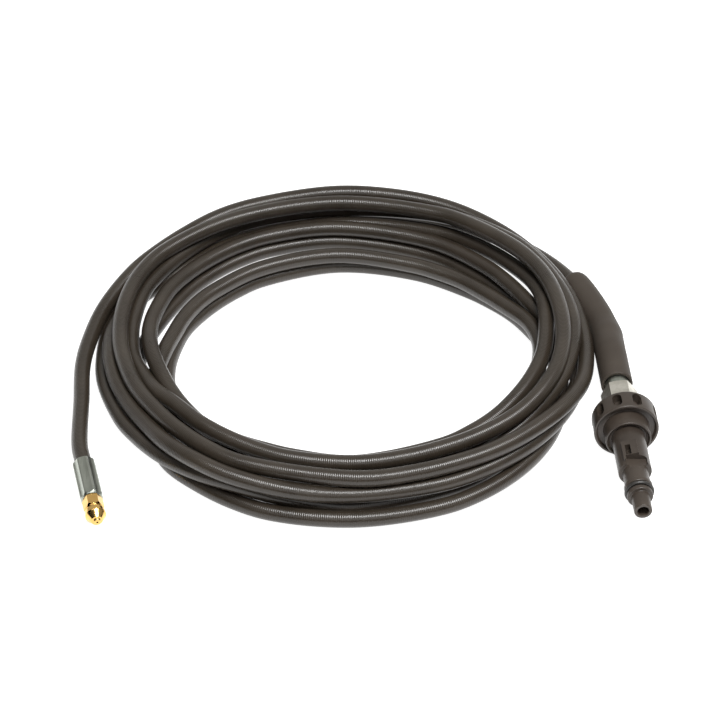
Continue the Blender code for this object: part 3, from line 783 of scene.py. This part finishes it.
def sleeve_outline():
    """Outer side from the soft rear edge to the square mouth, then back along the bore."""
    outer = []
    bore = SLEEVE_RADIUS - SLEEVE_WALL
    for run in np.linspace(0.0, SLEEVE_LENGTH, 84):
        soft = 1.0 - math.exp(-((run + 0.0004) / 0.0021) ** 1.15)
        swell = 0.00035 * math.exp(-((run - 0.066) / 0.006) ** 2)
        waist = 0.0002 * math.exp(-((run - 0.052) / 0.006) ** 2)
        radius = SLEEVE_REAR_RADIUS + (SLEEVE_RADIUS - SLEEVE_REAR_RADIUS) * soft
        outer.append((radius + (swell - waist), float(run)))
    back = []
    for run in np.linspace(SLEEVE_LENGTH, 0.0, 60):
        back.append((bore if run > 0.004 else SLEEVE_REAR_BORE, float(run)))
    lip = [(SLEEVE_RADIUS - 0.0003, SLEEVE_LENGTH + 0.0003), (bore + 0.0003, SLEEVE_LENGTH + 0.0003)]
    return outer + lip + back


inlet_line = hose_line[:SLEEVE_LINE_POINTS][::-1]
line_run = float(np.linalg.norm(np.diff(inlet_line, axis=0), axis=1).sum())
sleeve_rear = line_run + SLEEVE_PAST_HOSE - SLEEVE_LENGTH
sleeve = bent("bend_sleeve_rubber", [(radius, run + sleeve_rear) for radius, run in sleeve_outline()],
              inlet_line)
finish_mesh(sleeve, sleeve_rubber(), sharp=50)
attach(sleeve, "root")
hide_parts("bend_sleeve")


# Inlet ferrule: a second zinc-plated cup, crimped on the hose's inlet end. Only its front edge
# shows, between the sleeve's mouth and the coupling.

ADAPTER_REAR = (0.15475, -0.07476, 0.01925)
INLET_PLACE = Matrix.Translation(ADAPTER_REAR) @ Matrix.Rotation(math.radians(90), 4, "X")
INLET_FERRULE_RADIUS = 0.0075
INLET_FERRULE_LENGTH = 0.0218
INLET_FRONT_WALL = 0.0077

cup_front = -0.0223
cup_rear = cup_front - INLET_FERRULE_LENGTH
cup_end = cup_front - INLET_FRONT_WALL
inlet_ferrule = turned("inlet_ferrule_cup", rounded([
    (FERRULE_MOUTH, cup_front, 0), (INLET_FERRULE_RADIUS - 0.0006, cup_front, 0.0003),
    (INLET_FERRULE_RADIUS, cup_front - 0.0008, 0.0004),
    (INLET_FERRULE_RADIUS, cup_rear + 0.0006, 0.0004),
    (INLET_FERRULE_RADIUS - 0.0006, cup_rear, 0.0002), (FERRULE_BORE, cup_rear, 0),
    (FERRULE_BORE, cup_end, 0), (FERRULE_MOUTH, cup_end, 0),
]), INLET_PLACE)
finish_mesh(inlet_ferrule, ZINC)
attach(inlet_ferrule, "root")
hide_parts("inlet_ferrule")


# Coupling: a nineteen millimetre hexagon of nickel-plated brass, its rear corners turned round.
# Its tail is crimped in the hose and its spigot is screwed into the adapter.

COUPLING_ACROSS = 0.019
COUPLING_TURN = math.radians(7)
COUPLING_FRONT = -0.0003
COUPLING_BACK = -0.0220
COUPLING_BORE = 0.0018
COUPLING_SPIGOT = 0.0125
COUPLING_TAIL = -0.0297


def nickel():
    look = Finish("nickel_plate")
    stretch = look.node("ShaderNodeMapping", {"vector_type": "POINT"}, Vector=look.place(),
                        Scale=(30.0, 240.0, 30.0))
    drawn = look.noise(2.0, 4.0, place=stretch)
    cloud = look.noise(150.0, 4.0)
    stain = ((cloud - 0.5) * 3.0 + 0.35).math("MINIMUM", 1.0).math("MAXIMUM", 0.0)
    colour = look.blend(stain, (0.70, 0.68, 0.615, 1.0), (0.50, 0.48, 0.42, 1.0))
    look.set(Base_Color=colour, Metallic=1.0, Roughness=0.32 + drawn * 0.14 + stain * 0.08)
    look.bump(drawn * 0.5 + cloud * 0.5, 0.14, 0.0002)
    return look.material


coupling_corner = COUPLING_ACROSS / math.sqrt(3)
coupling = turned("hexagon_coupling", rounded([
    (COUPLING_BORE, COUPLING_SPIGOT, 0), (0.0059, COUPLING_SPIGOT, 0), (0.0065, 0.0119, 0),
    (0.0065, COUPLING_FRONT, 0),
    (coupling_corner - 0.0007, COUPLING_FRONT, 0.0004), (coupling_corner + 0.0003, -0.0010, 0.0006),
    (coupling_corner + 0.0003, COUPLING_BACK + 0.0014, 0.0010),
    (coupling_corner - 0.0020, COUPLING_BACK + 0.0002, 0.0008), (0.0078, COUPLING_BACK, 0.0003),
    (STEM_RADIUS, COUPLING_BACK, 0), (STEM_RADIUS, COUPLING_TAIL, 0),
    (COUPLING_BORE, COUPLING_TAIL, 0),
]), Matrix.Identity(4))
flats = prism("coupling_flats", circle(coupling_corner, 6, COUPLING_TURN), -0.05, 0.05,
              Matrix.Identity(4))
coupling = cut(coupling, flats, "INTERSECT")
coupling.data.transform(INLET_PLACE)
finish_mesh(coupling, nickel(), sharp=22)
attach(coupling, "root")
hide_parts("hex_coupling")


# Bayonet adapter: one moulding of black glass-filled plastic with a hand wheel, a boss, a round
# barrel with a latch plate on its top and a notch at its front, two collars and the bored nose
# that goes into the spray gun. The wheel's slots are moulded in three groups of three.

WHEEL_RADIUS = 0.01925
WHEEL_THICKNESS = 0.014
WHEEL_DISH = 0.0026
BOSS_RADIUS = 0.0135
BOSS_FRONT = 0.0226
BOSS_DISH = 0.0028
BARREL_RADIUS = 0.00975
BARREL_FRONT = 0.051
NECK_RADIUS = 0.0075
COLLAR_RADIUS = 0.0083
SEAL_REAR = 0.0662
SEAL_FRONT = 0.0696
GROOVE_RADIUS = 0.0062
NOSE_RADIUS = 0.0052
NOSE_BASE = 0.0725
ADAPTER_LENGTH = 0.0844
ADAPTER_BORE = 0.00345
SOCKET_RADIUS = 0.0068
SOCKET_DEPTH = 0.0128
SLOT_GROUPS = 3
SLOTS_IN_GROUP = 3
SLOT_TURN = math.radians(18)
SLOT_PITCH = math.radians(36)
SLOT_WIDTH = 0.0056
SLOT_LENGTH = 0.0100
SLOT_DEPTH = 0.0016
POCKET_WIDTH = SLOT_WIDTH - 0.0003
POCKET_LENGTH = SLOT_LENGTH - 0.0021
POCKET_DEPTH = 0.0055
LATCH_TURN = math.radians(14)
PANEL_WIDTH = 0.0091
PANEL_LENGTH = 0.0149
PANEL_RISE = 0.0008
PANEL_MIDDLE = 0.04145
LATCH_SLOT_WIDTH = 0.0031
LATCH_SLOT_LENGTH = 0.0082
LATCH_SLOT_DEPTH = 0.0038
LATCH_SLOT_MIDDLE = 0.0416
NOTCH_WIDTH = 0.0125
NOTCH_LENGTH = 0.0076
NOTCH_DEPTH = 0.0014
NOTCH_TURN = -math.radians(4)


def black_plastic():
    look = Finish("black_plastic")
    grain = look.noise(2400.0, 2.0)
    cloud = look.noise(60.0, 3.0)
    dust = ((grain - 0.62) * 9.0).math("MINIMUM", 1.0).math("MAXIMUM", 0.0)
    colour = look.blend((cloud - 0.5) * 1.5 + 0.4 + dust * 0.5, (0.028, 0.0210, 0.0160, 1.0),
                        (0.056, 0.043, 0.0330, 1.0))
    look.set(Base_Color=colour, Roughness=0.40 + (grain - 0.5) * 0.2 + (cloud - 0.5) * 0.15)
    look.bump(grain, 0.30, 0.00012)
    return look.material


def upright(turn, radius, height):
    """Place on the adapter's surface: X across, Y along the adapter, Z outward."""
    return (Matrix.Rotation(turn, 4, "Z") @ Matrix.Translation((0.0, radius, height))
            @ Matrix.Rotation(math.radians(-90), 4, "X") @ Matrix.Rotation(math.pi, 4, "Z"))


def capsule(width, length, steps=10):
    """Flat outline with half-round ends, its long way along Y."""
    half = (length - width) / 2
    points = []
    for step in range(steps + 1):
        angle = math.pi * step / steps
        points.append((width / 2 * math.cos(angle), half + width / 2 * math.sin(angle)))
    return points + [(-x, -y) for x, y in points]


def slab(name, width, length, low, high, place, corner=0.0003):
    """Low block with rounded upright corners, its long way along the place's Y."""
    flat = []
    for x, y, first in ((1, 1, 0), (-1, 1, 90), (-1, -1, 180), (1, -1, 270)):
        for step in range(5):
            angle = math.radians(first + step * 22.5)
            flat.append((x * (width / 2 - corner) + corner * math.cos(angle),
                         y * (length / 2 - corner) + corner * math.sin(angle)))
    return prism(name, flat, low, high, place)


PLASTIC = black_plastic()
dish = WHEEL_THICKNESS - WHEEL_DISH
adapter = turned("gun_adapter", rounded([
    (ADAPTER_BORE, ADAPTER_LENGTH, 0.0003), (NOSE_RADIUS, ADAPTER_LENGTH, 0.0005),
    (NOSE_RADIUS + 0.0002, NOSE_BASE, 0.0004), (NECK_RADIUS, NOSE_BASE, 0.0007),
    (NECK_RADIUS, SEAL_FRONT, 0.0003), (GROOVE_RADIUS, SEAL_FRONT, 0), (GROOVE_RADIUS, SEAL_REAR, 0),
    (COLLAR_RADIUS, SEAL_REAR, 0.0006), (COLLAR_RADIUS, 0.0634, 0.0005), (NECK_RADIUS, 0.0628, 0.0004),
    (NECK_RADIUS, BARREL_FRONT, 0.0003), (BARREL_RADIUS, BARREL_FRONT, 0.0006),
    (BARREL_RADIUS, BOSS_FRONT - BOSS_DISH, 0.0008),
    (BOSS_RADIUS - 0.0016, BOSS_FRONT - 0.0017, 0.0008),
    (BOSS_RADIUS - 0.0010, BOSS_FRONT, 0.0005), (BOSS_RADIUS, BOSS_FRONT - 0.0003, 0.0006),
    (BOSS_RADIUS + 0.0001, dish, 0.0005), (WHEEL_RADIUS - 0.0022, dish, 0.0006),
    (WHEEL_RADIUS - 0.0015, WHEEL_THICKNESS, 0.0006), (WHEEL_RADIUS, WHEEL_THICKNESS - 0.0001, 0.0012),
    (WHEEL_RADIUS, 0.0, 0.0012), (SOCKET_RADIUS, 0.0, 0.0003), (SOCKET_RADIUS, SOCKET_DEPTH, 0),
    (ADAPTER_BORE, 0.0148, 0),
]), Matrix.Identity(4))
panel = slab("latch_plate", PANEL_WIDTH, PANEL_LENGTH, -0.0030, PANEL_RISE,
             upright(LATCH_TURN, BARREL_RADIUS, PANEL_MIDDLE), 0.0006)
adapter = cut(adapter, panel, "UNION")
middle = WHEEL_THICKNESS / 2
grip_slot = prism("grip_slot", capsule(SLOT_WIDTH, SLOT_LENGTH), -SLOT_DEPTH, 0.003,
                  upright(0.0, WHEEL_RADIUS, middle))
grip_pocket = prism("grip_pocket", capsule(POCKET_WIDTH, POCKET_LENGTH), -POCKET_DEPTH, -0.001,
                    upright(0.0, WHEEL_RADIUS, middle - 0.0010))
for hollow in (grip_slot, grip_pocket):
    group = repeated(hollow, SLOTS_IN_GROUP, SLOT_PITCH, -SLOT_PITCH, PLASTIC)
    all_round = repeated(group, SLOT_GROUPS, math.tau / SLOT_GROUPS, SLOT_TURN, PLASTIC)
    adapter = cut(adapter, all_round, "DIFFERENCE")
latch_place = upright(LATCH_TURN + math.radians(6), BARREL_RADIUS + PANEL_RISE, LATCH_SLOT_MIDDLE)
latch_slot = slab("latch_slot", LATCH_SLOT_WIDTH, LATCH_SLOT_LENGTH, -LATCH_SLOT_DEPTH, 0.003,
                  latch_place, 0.0004)
adapter = cut(adapter, latch_slot, "DIFFERENCE")
notch = slab("barrel_notch", NOTCH_WIDTH, NOTCH_LENGTH, -NOTCH_DEPTH, 0.0060,
             upright(NOTCH_TURN, NECK_RADIUS, BARREL_FRONT - 0.0012), 0.0003)
adapter = cut(adapter, notch, "DIFFERENCE")
adapter.data.transform(INLET_PLACE)
finish_mesh(adapter, PLASTIC, sharp=32)
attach(adapter, "root")
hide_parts("bayonet_adapter")


# Seal ring: a small black rubber ring that sits in the groove behind the nose and seals in the
# spray gun.

SEAL_MIDDLE = 0.0076
SEAL_SECTION = 0.0011
SEAL_STANDS_AT = 0.0679


def seal_rubber():
    look = Finish("seal_rubber")
    cloud = look.noise(700.0, 3.0)
    colour = look.blend(cloud, (0.016, 0.015, 0.013, 1.0), (0.035, 0.032, 0.029, 1.0))
    look.set(Base_Color=colour, Roughness=0.30 + cloud * 0.2)
    look.bump(cloud, 0.1, 0.0001)
    return look.material


section = [(SEAL_MIDDLE + x, SEAL_STANDS_AT + y) for x, y in circle(SEAL_SECTION, 20)]
seal = turned("nose_seal_ring", section, INLET_PLACE)
finish_mesh(seal, seal_rubber(), sharp=60)
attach(seal, "root")
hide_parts("seal_ring")
